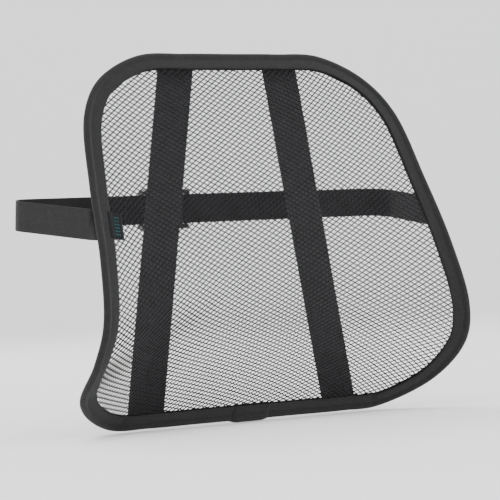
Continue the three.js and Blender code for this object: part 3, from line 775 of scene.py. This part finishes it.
def build_tape(context):
    made = looks(context, "tape")
    # Polyester tape, woven in a fine rib: matt, with a soft bloom and a slightly worn edge. The
    # rib is drawn at 1.3 mm, coarser than the real 0.6 mm, so that it shows.
    cloth = woven("polyester edge tape, woven rib", tuple(made.tint), 1.3 * MM, 1.0 * MM, 0.22 * MM)
    steps = 470
    arcs = [LOOP.length * i / steps for i in range(steps)]
    rings = [
        tape_ring(arc, made.thickness, TAPE_FOLD + swell_at(arc), TAPE_LEAF, made.rumple)
        for arc in arcs
    ]
    tape = swept("edge_tape", rings, cloth, closed=True)
    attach(tape, "frame")
    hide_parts("edge_binding")

    lap_steps = 30
    lap_arcs = [LAP_HALF * (2 * i / lap_steps - 1) for i in range(lap_steps + 1)]
    lap_rings = []
    # The end is 0.8 mm thick and thins to 0.3 mm over its last 5 mm.
    for arc in lap_arcs:
        thin = smooth_step(LAP_HALF - abs(arc), 0, 5 * MM)
        thickness = (0.3 + 0.5 * thin) * MM
        step = LAP_STEP - 0.4 * MM + thickness / 2
        lap_rings.append(
            tape_ring(arc, thickness, TAPE_FOLD + swell_at(arc) + step, TAPE_LEAF + step, 0)
        )
    lap = swept("tape_end", lap_rings, cloth)
    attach(lap, "frame")
    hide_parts("binding_lap")

    thread = thread_material()
    lift = TAPE_LEAF + made.thickness / 2 - SEAM_SUNK
    rows = [
        seam_row(arcs, -out, lift, side) for side in (1, -1) for out in (INNER_SEAM, OUTER_SEAM)
    ]
    sew("tape_seams", rows, "frame", thread, closed=True)
    lap_lift = TAPE_LEAF + LAP_STEP + 0.3 * MM
    ends = []
    for arc in (-LAP_HALF + 2 * MM, -LAP_HALF + 4 * MM, LAP_HALF - 4 * MM, LAP_HALF - 2 * MM):
        for side in (1, -1):
            origin, _, outward, forward = LOOP.frame(arc)
            up = forward * side
            ends.append([
                (origin + outward * out * MM + up * lap_lift, up) for out in (-14, -9.5, -5)
            ])
    sew("tape_end_tacks", ends, "frame", thread, pitch=2.3 * MM, size=2 * MM)


# ---------------------------------------------------------------- net

def net_tree():
    """Zigzag yarns that meet in knots, drawn flat and then laid on the stretched surface."""
    sizes = [
        "Mesh Pitch", "Row Pitch", "Strand Width", "Strand Depth", "Knot Swell", "Tilt",
        "Row Bend", "Row Bend Change", "Column Spread", "Column Close", "Squeeze",
        "Squeeze Start", "Squeeze Width",
    ]
    tree, given = geometry_tree("Knitted net", sizes)
    rows, columns, reach = 420, 116, 0.5
    half_row = add(tree, "ShaderNodeMath", {0: given["Row Pitch"], 1: 0.5}, operation="MULTIPLY")
    half_mesh = add(tree, "ShaderNodeMath", {0: given["Mesh Pitch"], 1: 0.5}, operation="MULTIPLY")
    made = []
    for axis, half, count, before in ((2, half_row, rows, 0.56), (0, half_mesh, columns, 0.5)):
        first = add(
            tree, "ShaderNodeMath", {0: half.outputs[0], 1: -before * count}, operation="MULTIPLY"
        )
        start = add(tree, "ShaderNodeCombineXYZ", {axis: first.outputs[0]})
        step = add(tree, "ShaderNodeCombineXYZ", {axis: half.outputs[0]})
        made.append(add(
            tree, "GeometryNodeMeshLine",
            {"Count": count, "Start Location": start.outputs[0], "Offset": step.outputs[0]},
        ))
    chain, wales = made
    placed = add(
        tree, "GeometryNodeInstanceOnPoints",
        {"Points": wales.outputs[0], "Instance": chain.outputs[0]},
    )
    flat = add(tree, "GeometryNodeRealizeInstances", {0: placed.outputs[0]})

    index = add(tree, "GeometryNodeInputIndex")
    share = add(tree, "ShaderNodeMath", {0: index.outputs[0], 1: rows}, operation="DIVIDE")
    wale = add(tree, "ShaderNodeMath", {0: share.outputs[0]}, operation="FLOOR")
    place = add(tree, "ShaderNodeMath", {0: index.outputs[0], 1: rows}, operation="MODULO")
    half_place = add(
        tree, "ShaderNodeMath", {0: place.outputs[0], 1: 0.5, 2: wale.outputs[0]},
        operation="MULTIPLY_ADD",
    )
    turn = add(tree, "ShaderNodeMath", {0: half_place.outputs[0], 1: math.pi}, operation="MULTIPLY")
    swing = add(tree, "ShaderNodeMath", {0: turn.outputs[0]}, operation="COSINE")
    knot = add(tree, "ShaderNodeMath", {0: swing.outputs[0]}, operation="ABSOLUTE")
    quarter = add(
        tree, "ShaderNodeMath", {0: half_mesh.outputs[0], 1: 0.5}, operation="MULTIPLY"
    )

    spot = add(tree, "GeometryNodeInputPosition")
    axes = add(tree, "ShaderNodeSeparateXYZ", {0: spot.outputs[0]})
    side = add(
        tree, "ShaderNodeMath", {0: swing.outputs[0], 1: quarter.outputs[0], 2: axes.outputs[0]},
        operation="MULTIPLY_ADD",
    )
    widen = add(
        tree, "ShaderNodeMath",
        {0: side.outputs[0], 1: given["Column Close"], 2: given["Column Spread"]},
        operation="MULTIPLY_ADD",
    )
    stretch = add(
        tree, "ShaderNodeMath", {0: side.outputs[0], 1: widen.outputs[0], 2: 1.0},
        operation="MULTIPLY_ADD",
    )
    x = add(
        tree, "ShaderNodeMath", {0: side.outputs[0], 1: stretch.outputs[0]}, operation="MULTIPLY"
    )
    # Rows lie closer below the squeeze's start, where the net curls back to the bottom run.
    above = add(
        tree, "ShaderNodeMath", {0: axes.outputs[2], 1: given["Squeeze Start"]}, operation="ADD"
    )
    steps = add(
        tree, "ShaderNodeMath", {0: above.outputs[0], 1: given["Squeeze Width"]},
        operation="DIVIDE",
    )
    fall = add(tree, "ShaderNodeMath", {0: steps.outputs[0], 1: -1.0}, operation="MULTIPLY")
    power = add(tree, "ShaderNodeMath", {0: fall.outputs[0]}, operation="EXPONENT")
    grown = add(tree, "ShaderNodeMath", {0: power.outputs[0], 1: 1.0}, operation="ADD")
    logged = add(
        tree, "ShaderNodeMath", {0: grown.outputs[0], 1: math.e}, operation="LOGARITHM"
    )
    lift = add(
        tree, "ShaderNodeMath", {0: given["Squeeze"], 1: given["Squeeze Width"]},
        operation="MULTIPLY",
    )
    level = add(
        tree, "ShaderNodeMath", {0: logged.outputs[0], 1: lift.outputs[0], 2: axes.outputs[2]},
        operation="MULTIPLY_ADD",
    )
    bend = add(
        tree, "ShaderNodeMath",
        {0: axes.outputs[2], 1: given["Row Bend Change"], 2: given["Row Bend"]},
        operation="MULTIPLY_ADD",
    )
    drop = add(
        tree, "ShaderNodeMath", {0: x.outputs[0], 1: bend.outputs[0], 2: given["Tilt"]},
        operation="MULTIPLY_ADD",
    )
    z = add(
        tree, "ShaderNodeMath", {0: x.outputs[0], 1: drop.outputs[0], 2: level.outputs[0]},
        operation="MULTIPLY_ADD",
    )
    source = add(tree, "ShaderNodeCombineXYZ", {0: x.outputs[0], 1: -reach, 2: z.outputs[0]})

    ray = add(
        tree, "GeometryNodeRaycast",
        {"Target Geometry": given["Geometry"], "Source Position": source.outputs[0],
         "Ray Direction": (0, 1, 0), "Ray Length": 2 * reach},
    )
    noted = flat
    for label, value, kind in (
        ("knot", knot.outputs[0], "FLOAT"),
        ("facing", ray.outputs["Hit Normal"], "FLOAT_VECTOR"),
        ("hit", ray.outputs["Is Hit"], "BOOLEAN"),
    ):
        noted = add(
            tree, "GeometryNodeStoreNamedAttribute",
            {"Geometry": noted.outputs[0], "Name": label, "Value": value},
            data_type=kind, domain="POINT",
        )
    laid = add(
        tree, "GeometryNodeSetPosition",
        {"Geometry": noted.outputs[0], "Position": ray.outputs["Hit Position"]},
    )
    was_hit = add(tree, "GeometryNodeInputNamedAttribute", {0: "hit"}, data_type="BOOLEAN")
    missed = add(
        tree, "FunctionNodeBooleanMath", {0: was_hit.outputs[0]}, operation="NOT"
    )
    kept = add(
        tree, "GeometryNodeDeleteGeometry",
        {"Geometry": laid.outputs[0], "Selection": missed.outputs[0]}, domain="POINT",
    )
    lines = add(tree, "GeometryNodeMeshToCurve", {0: kept.outputs[0]})
    face = add(tree, "GeometryNodeInputNamedAttribute", {0: "facing"}, data_type="FLOAT_VECTOR")
    turned = add(
        tree, "GeometryNodeSetCurveNormal",
        {"Curve": lines.outputs[0], "Normal": face.outputs[0]}, mode="FREE",
    )
    thick = add(tree, "GeometryNodeInputNamedAttribute", {0: "knot"}, data_type="FLOAT")
    swollen = add(
        tree, "ShaderNodeMath", {0: thick.outputs[0], 1: given["Knot Swell"], 2: 1.0},
        operation="MULTIPLY_ADD",
    )
    profile = add(tree, "GeometryNodeCurvePrimitiveCircle", {"Resolution": 4, "Radius": 0.5})
    section = add(
        tree, "ShaderNodeCombineXYZ", {0: given["Strand Depth"], 1: given["Strand Width"], 2: 1.0}
    )
    shaped = add(
        tree, "GeometryNodeTransform", {"Geometry": profile.outputs[0], "Scale": section.outputs[0]}
    )
    strands = add(
        tree, "GeometryNodeCurveToMesh",
        {"Curve": turned.outputs[0], "Profile Curve": shaped.outputs[0],
         "Scale": swollen.outputs[0], "Fill Caps": True},
    )
    end_tree(tree, strands.outputs[0], given)
    return tree


def net_surface():
    """The net's saddle: a parabola along each ray from its middle to the wire."""
    turns, rings = 300, 26
    points = [NET_MIDDLE.copy()]
    for r in range(1, rings + 1):
        for i in range(turns):
            ray = LOOP.at(LOOP.length * i / turns) - NET_MIDDLE
            share = (1 - NET_EDGE / ray.length) * r / rings
            points.append(NET_MIDDLE + Vector((ray.x * share, ray.y * share ** 2, ray.z * share)))
    faces = [(0, 1 + i, 1 + (i + 1) % turns) for i in range(turns)]
    for r in range(rings - 1):
        for i in range(turns):
            after = (i + 1) % turns
            inner, outer = 1 + r * turns, 1 + (r + 1) * turns
            faces.append((inner + i, outer + i, outer + after, inner + after))
    return points, faces


def build_net(context):
    made = looks(context, "net")
    # Knitted polyester net: matt filament yarn with a faint violet cast and thicker knots.
    yarns = yarn("polyester net yarn, warp knitted", tuple(made.tint), 0.5 * MM, 0.12 * MM)
    points, faces = net_surface()
    net = mesh_object("net", points, faces, yarns)
    grow(net, net_tree(), {
        "Mesh Pitch": made.pitch,
        "Row Pitch": made.row,
        "Strand Width": made.strand,
        "Strand Depth": made.depth,
        "Knot Swell": 0.38,
        "Tilt": 0.0695,
        "Row Bend": -0.23,
        "Row Bend Change": 3.1,
        "Column Spread": 0.164,
        "Column Close": -0.6,
        "Squeeze": 0.28,
        "Squeeze Start": 77.7 * MM,
        "Squeeze Width": 17 * MM,
        "Material": yarns,
    })
    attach(net, "frame")
    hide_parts("net_panel")


# ---------------------------------------------------------------- bands and label

def build_bands(context):
    made = looks(context, "band")
    # Polyester band, woven in a herringbone: flat, matt and paler than the tape.
    cloth = woven("polyester band, woven flat", tuple(made.tint), 1.9 * MM, 1.5 * MM, 0.3 * MM)
    thread = thread_material()
    for name, side in (("band_left", -1), ("band_right", 1)):
        low, high = (Vector(corner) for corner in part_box(name))
        top, bottom = high.z - 0.4 * MM, low.z + 0.4 * MM
        half = made.width / 2 * BAND_SLANT
        inner_top = min(abs(low.x), abs(high.x)) + half
        inner_bottom = max(abs(low.x), abs(high.x)) - half
        steps = 90
        columns = []
        for place in spread(2 * half, 15):
            column = []
            for i in range(steps + 1):
                share = i / steps
                middle = inner_bottom + (inner_top - inner_bottom) * share
                slack = 0.35 * MM * noise.noise(Vector((share * 7, place / (16 * MM), side)))
                edge = 0.3 * MM * noise.noise(Vector((share * 30, place, 3 * side)))
                wave = slack * math.sin(math.pi * share)
                column.append(Vector((
                    side * (middle + place + edge * abs(place) / half),
                    -made.thickness / 2 - 0.05 * MM - abs(wave),
                    bottom + (top - bottom) * share,
                )))
            columns.append(column)
        band = web(f"flat_{name}", columns, made.thickness, cloth)
        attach(band, "frame")
        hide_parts(name)
        rows = []
        for share, inset in ((0, 3), (0, 6.5), (1, 3), (1, 6.5)):
            height = bottom + inset * MM if share == 0 else top - inset * MM
            middle = inner_top if share else inner_bottom
            rows.append([
                (Vector((side * (middle + out), 0.05 * MM, height)), Vector((0, 1, 0)))
                for out in (-0.45 * made.width, 0, 0.45 * made.width)
            ])
        sew(f"{name}_seams", rows, "frame", thread)


def build_label(context):
    made = looks(context, "hardware")
    # Satin label: a tight weave, a little smoother than the tape's.
    cloth = woven(
        "satin label, woven", tuple(made.label), 0.7 * MM, 0.7 * MM, 0.08 * MM, 0.04, 0.75
    )
    middle = LOOP.length - ANCHOR_ARC
    steps = 16
    columns = []
    for place in spread(LABEL_HEIGHT, 13):
        column = []
        for i in range(steps + 1):
            out = -LABEL_START - (LABEL_WIDTH + LABEL_SEAM) * i / steps
            curl = LABEL_CURL * smooth_step(i / steps, 0.6, 1)
            off_tape = smooth_step(-out, TAPE_REACH - 0.6 * MM, TAPE_REACH + 1.6 * MM)
            over = LABEL_STEP * (1 - off_tape)
            column.append(LOOP.place(middle + place, out, LABEL_LIFT + curl + over))
        columns.append(column)
    label = web("sewn_label", columns, LABEL_THICKNESS, cloth, selvedge=0.5)
    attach(label, "frame")
    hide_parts("side_label")
    # The mark is plain: an even grid of short tacks in coloured thread that says nothing.
    tint = tuple(looks(context, "stitch").mark)
    dyed = yarn("polyester mark thread, dyed", tint, 0.3 * MM, 0.1 * MM)
    forward = LOOP.frame(middle)[3]
    rows = [
        [
            (LOOP.place(middle + share * MARK_HALF, -inward * MM, MARK_LIFT), forward)
            for share in (-1, -0.5, 0, 0.5, 1)
        ]
        for inward in MARK_ROWS
    ]
    sew("label_mark", rows, "frame", dyed, pitch=3 * MM, size=1.2 * MM)


# ---------------------------------------------------------------- strap

def strap_place(x, y, z):
    """A point of the strap's own frame, in the support's frame."""
    turn = Matrix.Rotation(STRAP_RISE, 3, "X")
    return SWING_AXIS + turn @ Vector((x, y, z))


def strap_line(height, end, thickness):
    """Middle line of the strap's right half at one height, from its sewn end to a rear x."""
    arc = ANCHOR_ARC + height
    rear = TAPE_LEAF + TAPE_HALF + STRAP_SEWN_GAP + thickness / 2
    behind = TAPE_FOLD + TAPE_HALF + STRAP_FOLD_GAP + thickness / 2
    run = Vector((math.sin(STRAP_LEAN), math.cos(STRAP_LEAN), 0))
    corner = Vector((CORNER_X, REAR_RUN - CORNER_RADIUS, 0))
    start = Vector((JUNCTION_X, 0, 0))
    bend = corner + CORNER_RADIUS * Vector((math.cos(-STRAP_LEAN), math.sin(-STRAP_LEAN), 0))
    local = [start + run * step * MM for step in (0, 5, 12)]
    local += [start.lerp(bend, share) for share in (0.3, 0.5, 0.7, 0.85)]
    sweep_angle = math.pi / 2 + STRAP_LEAN
    for k in range(11):
        angle = -STRAP_LEAN + sweep_angle * k / 10
        local.append(corner + CORNER_RADIUS * Vector((math.cos(angle), math.sin(angle), 0)))
    count = 12
    local += [
        Vector((CORNER_X + (end - CORNER_X) * k / count, REAR_RUN, 0)) for k in range(1, count + 1)
    ]
    # The foot: sewn flat behind the leaf, then out over the fold.
    levels = ((-10, -rear), (-6.5, -rear), (-3.6, -(rear + behind) / 2), (-0.2, -behind))
    foot = [LOOP.place(arc, out * MM, ahead) for out, ahead in levels]
    return foot + [strap_place(p.x, p.y, height) for p in local]


def mirrored(point):
    return Vector((-point.x, point.y, point.z))


def folded_line(bar, run, way, height, thickness):
    """Middle line of a web end folded round a buckle's bar, open towards way along X."""
    gap = BAR_GAP + thickness / 2
    line = [Vector((bar + way * run * (1 - k / 8), REAR_RUN + gap, 0)) for k in range(8)]
    for k in range(9):
        angle = math.pi / 2 + math.pi * k / 8
        line.append(Vector((
            bar + way * (gap * math.cos(angle) - BAR_BACK), REAR_RUN + gap * math.sin(angle), 0
        )))
    line += [Vector((bar + way * run * k / 8, REAR_RUN - gap, 0)) for k in range(1, 9)]
    return [strap_place(p.x, p.y, height) for p in line]


def build_strap(context):
    made = looks(context, "strap")
    # Elastic webbing: lengthwise rubber ribs under a woven polyester cover, matt.
    cloth = woven("elastic webbing, woven ribs", tuple(made.tint), 1.2 * MM, 1.5 * MM, 0.12 * MM)
    thread = thread_material()
    heights = spread(STRAP_WIDTH, 13)
    # Each half is one piece from its sewn end on the tape, over its first stretch behind the axis,
    # to its end.
    for name, side, end in (("right", 1, SINGLE_END_X), ("left", -1, -(SOCKET_BAR_X - 4 * MM))):
        columns = []
        for height in heights:
            corners = strap_line(height, end, made.thickness)
            line = rounded_path(corners, 3 * MM)
            columns.append(line if side > 0 else [mirrored(p) for p in line])
        count = min(len(column) for column in columns)
        columns = [
            [column[round(i * (len(column) - 1) / (count - 1))] for i in range(count)]
            for column in columns
        ]
        half = web(f"strap_half_{name}", columns, made.thickness, cloth)
        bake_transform(half)
        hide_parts(f"strap_anchor_{name}", f"strap_{name}")

    folds = (
        ("socket_loop", "socket_fold", SOCKET_BAR_X, 20 * MM, -1, "strap"),
        ("plug_loop", "plug_fold", PLUG_BAR_X, 156 * MM, 1, "plug"),
    )
    for name, node, bar, run, way, body in folds:
        columns = [folded_line(bar, run, way, height, made.thickness) for height in heights]
        loop = web(name, columns, made.thickness, cloth)
        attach(loop, body)
        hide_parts(node)
    up = strap_place(0, 1, 0) - strap_place(0, 0, 0)
    # The socket's fold is closed by a sewn box with its diagonals, shown on both faces.
    near, far, half, lift = -80 * MM, -92 * MM, 11 * MM, 2.8 * MM
    corners = [(near, -half), (near, half), (far, half), (far, -half), (near, -half)]
    rows = []
    for back in (1, -1):
        line = [(strap_place(x, REAR_RUN + back * lift, z), up * back) for x, z in corners]
        rows += [list(pair) for pair in zip(line, line[1:])]
        rows += [[line[k], line[k + 2]] for k in (0, 1)]
    sew("socket_loop_seams", rows, "strap", thread, pitch=3 * MM, size=2.3 * MM)


# ---------------------------------------------------------------- hardware

def build_hardware(context):
    made = looks(context, "hardware")
    # Acetal, injection moulded: a waxy, nearly black plastic with a fine grain.
    plastic = moulded("acetal, moulded", tuple(made.plastic), 0.5 * MM, 0.42)
    for node in ("buckle_socket", "buckle_plug", "prong_upper", "prong_lower", "strap_adjuster"):
        repaint(node, plastic)
    # Spring steel, drawn, and a zinc-plated crimped sleeve.
    repaint("frame_wire", metal("spring steel, drawn", tuple(made.steel), 0.34, 0.6 * MM))
    repaint("wire_joint_sleeve", metal("zinc-plated steel, crimped", tuple(made.zinc), 0.3, 2 * MM))


# ---------------------------------------------------------------- stage

def aim(spot, target, roll=0.0):
    """A transform at a spot that looks at a target."""
    turn = (target - spot).to_track_quat("-Z", "Y").to_matrix().to_4x4()
    return Matrix.Translation(spot) @ turn @ Matrix.Rotation(roll, 4, "Z")


def build_stage(context):
    made = looks(context, "stage")
    scene = context.scene
    flat = math.cos(made.elevation)
    spot = made.distance * Vector((
        -math.sin(made.azimuth) * flat, -math.cos(made.azimuth) * flat, math.sin(made.elevation)
    ))
    first = aim(spot, Vector((0, 0, 0)), made.roll)
    target = first.to_3x3() @ VIEW_SHIFT
    camera = bpy.data.objects.new("camera", bpy.data.cameras.new("camera"))
    camera.data.lens = made.focal
    camera.data.sensor_width = 36
    camera.data.dof.use_dof = False
    camera.data.clip_end = 50
    camera.matrix_world = aim(spot, target, made.roll)
    scene.collection.objects.link(camera)
    scene.camera = camera

    pale, tree, shader = principled("painted board, matt", tuple(made.floor), 0.9)
    speckle = add(
        tree, "ShaderNodeTexNoise",
        {"Vector": add(tree, "ShaderNodeTexCoord").outputs["Object"], "Scale": 40.0},
    )
    vary_gloss(tree, shader, speckle.outputs[0], 0.85, 0.95)
    low = CAD_BOX[0][2]
    size, radius, wall, steps = 9.0, 1.5, 4, 12
    profile = [Vector((0, -size, low)), Vector((0, size / 2, low))]
    for k in range(1, steps + 1):
        turn = math.pi / 2 * k / steps
        profile.append(Vector((
            0, size / 2 + radius * math.sin(turn), low + radius * (1 - math.cos(turn))
        )))
    profile.append(profile[-1] + Vector((0, 0, wall)))
    points = [p + Vector((side * size, 0, 0)) for p in profile for side in (-1, 1)]
    faces = [(2 * i, 2 * i + 1, 2 * i + 3, 2 * i + 2) for i in range(len(profile) - 1)]
    floor = mesh_object("floor", points, faces, pale)
    floor.matrix_world = Matrix.Rotation(-made.azimuth, 4, "Z")

    world = bpy.data.worlds.new("studio")
    world.use_nodes = True
    world.node_tree.nodes["Background"].inputs["Color"].default_value = (1, 1, 1, 1)
    world.node_tree.nodes["Background"].inputs["Strength"].default_value = 1.5
    scene.world = world
    for name, place, width, power in LAMPS:
        data = bpy.data.lights.new(name, "AREA")
        data.size = width
        data.energy = power
        lamp = bpy.data.objects.new(name, data)
        lamp.matrix_world = aim(Vector(place), Vector((0, -0.05, 0)))
        scene.collection.objects.link(lamp)


# ---------------------------------------------------------------- operators and panel

class LUMBAR_OT_edge_tape(bpy.types.Operator):
    """Make the folded edge tape, its lapped end and its seams"""

    bl_idname = "lumbar.edge_tape"
    bl_label = "Edge tape"

    def execute(self, context):
        check_loop()
        build_tape(context)
        return {"FINISHED"}


class LUMBAR_OT_net(bpy.types.Operator):
    """Make the knitted net"""

    bl_idname = "lumbar.net"
    bl_label = "Net"

    def execute(self, context):
        build_net(context)
        return {"FINISHED"}


class LUMBAR_OT_bands(bpy.types.Operator):
    """Make the two flat bands"""

    bl_idname = "lumbar.bands"
    bl_label = "Flat bands"

    def execute(self, context):
        build_bands(context)
        return {"FINISHED"}


class LUMBAR_OT_label(bpy.types.Operator):
    """Make the sewn-in label"""

    bl_idname = "lumbar.label"
    bl_label = "Label"

    def execute(self, context):
        build_label(context)
        return {"FINISHED"}


class LUMBAR_OT_strap(bpy.types.Operator):
    """Make the elastic strap and its folded ends"""

    bl_idname = "lumbar.strap"
    bl_label = "Elastic strap"

    def execute(self, context):
        build_strap(context)
        return {"FINISHED"}


class LUMBAR_OT_hardware(bpy.types.Operator):
    """Finish the buckle, the adjuster, the wire and its sleeve"""

    bl_idname = "lumbar.hardware"
    bl_label = "Buckle and wire"

    def execute(self, context):
        build_hardware(context)
        return {"FINISHED"}


class LUMBAR_OT_stage(bpy.types.Operator):
    """Make the camera, the floor and the lights"""

    bl_idname = "lumbar.stage"
    bl_label = "Stage"

    def execute(self, context):
        build_stage(context)
        return {"FINISHED"}


OPERATORS = (
    LUMBAR_OT_stage,
    LUMBAR_OT_edge_tape,
    LUMBAR_OT_net,
    LUMBAR_OT_bands,
    LUMBAR_OT_label,
    LUMBAR_OT_strap,
    LUMBAR_OT_hardware,
)


class LUMBAR_PT_support(bpy.types.Panel):
    """The support's sizes, colours and pieces"""

    bl_idname = "LUMBAR_PT_support"
    bl_label = "Lumbar support"
    bl_space_type = "VIEW_3D"
    bl_region_type = "UI"
    bl_category = "Lumbar support"

    def draw(self, context):
        for key, group in GROUPS.items():
            box = self.layout.box()
            box.label(text=group.__doc__)
            for prop in group.__annotations__:
                box.prop(looks(context, key), prop)
        for operator in OPERATORS:
            self.layout.operator(operator.bl_idname)


CLASSES = (*GROUPS.values(), *OPERATORS, LUMBAR_PT_support)


def register():
    for cls in CLASSES:
        bpy.utils.register_class(cls)
    for key, group in GROUPS.items():
        setattr(bpy.types.Scene, "lumbar_" + key, PointerProperty(type=group))


def unregister():
    for key in GROUPS:
        delattr(bpy.types.Scene, "lumbar_" + key)
    for cls in reversed(CLASSES):
        bpy.utils.unregister_class(cls)


def main():
    register()
    for operator in OPERATORS:
        _, name = operator.bl_idname.split(".")
        getattr(bpy.ops.lumbar, name)()


if __name__ == "__main__":
    main()
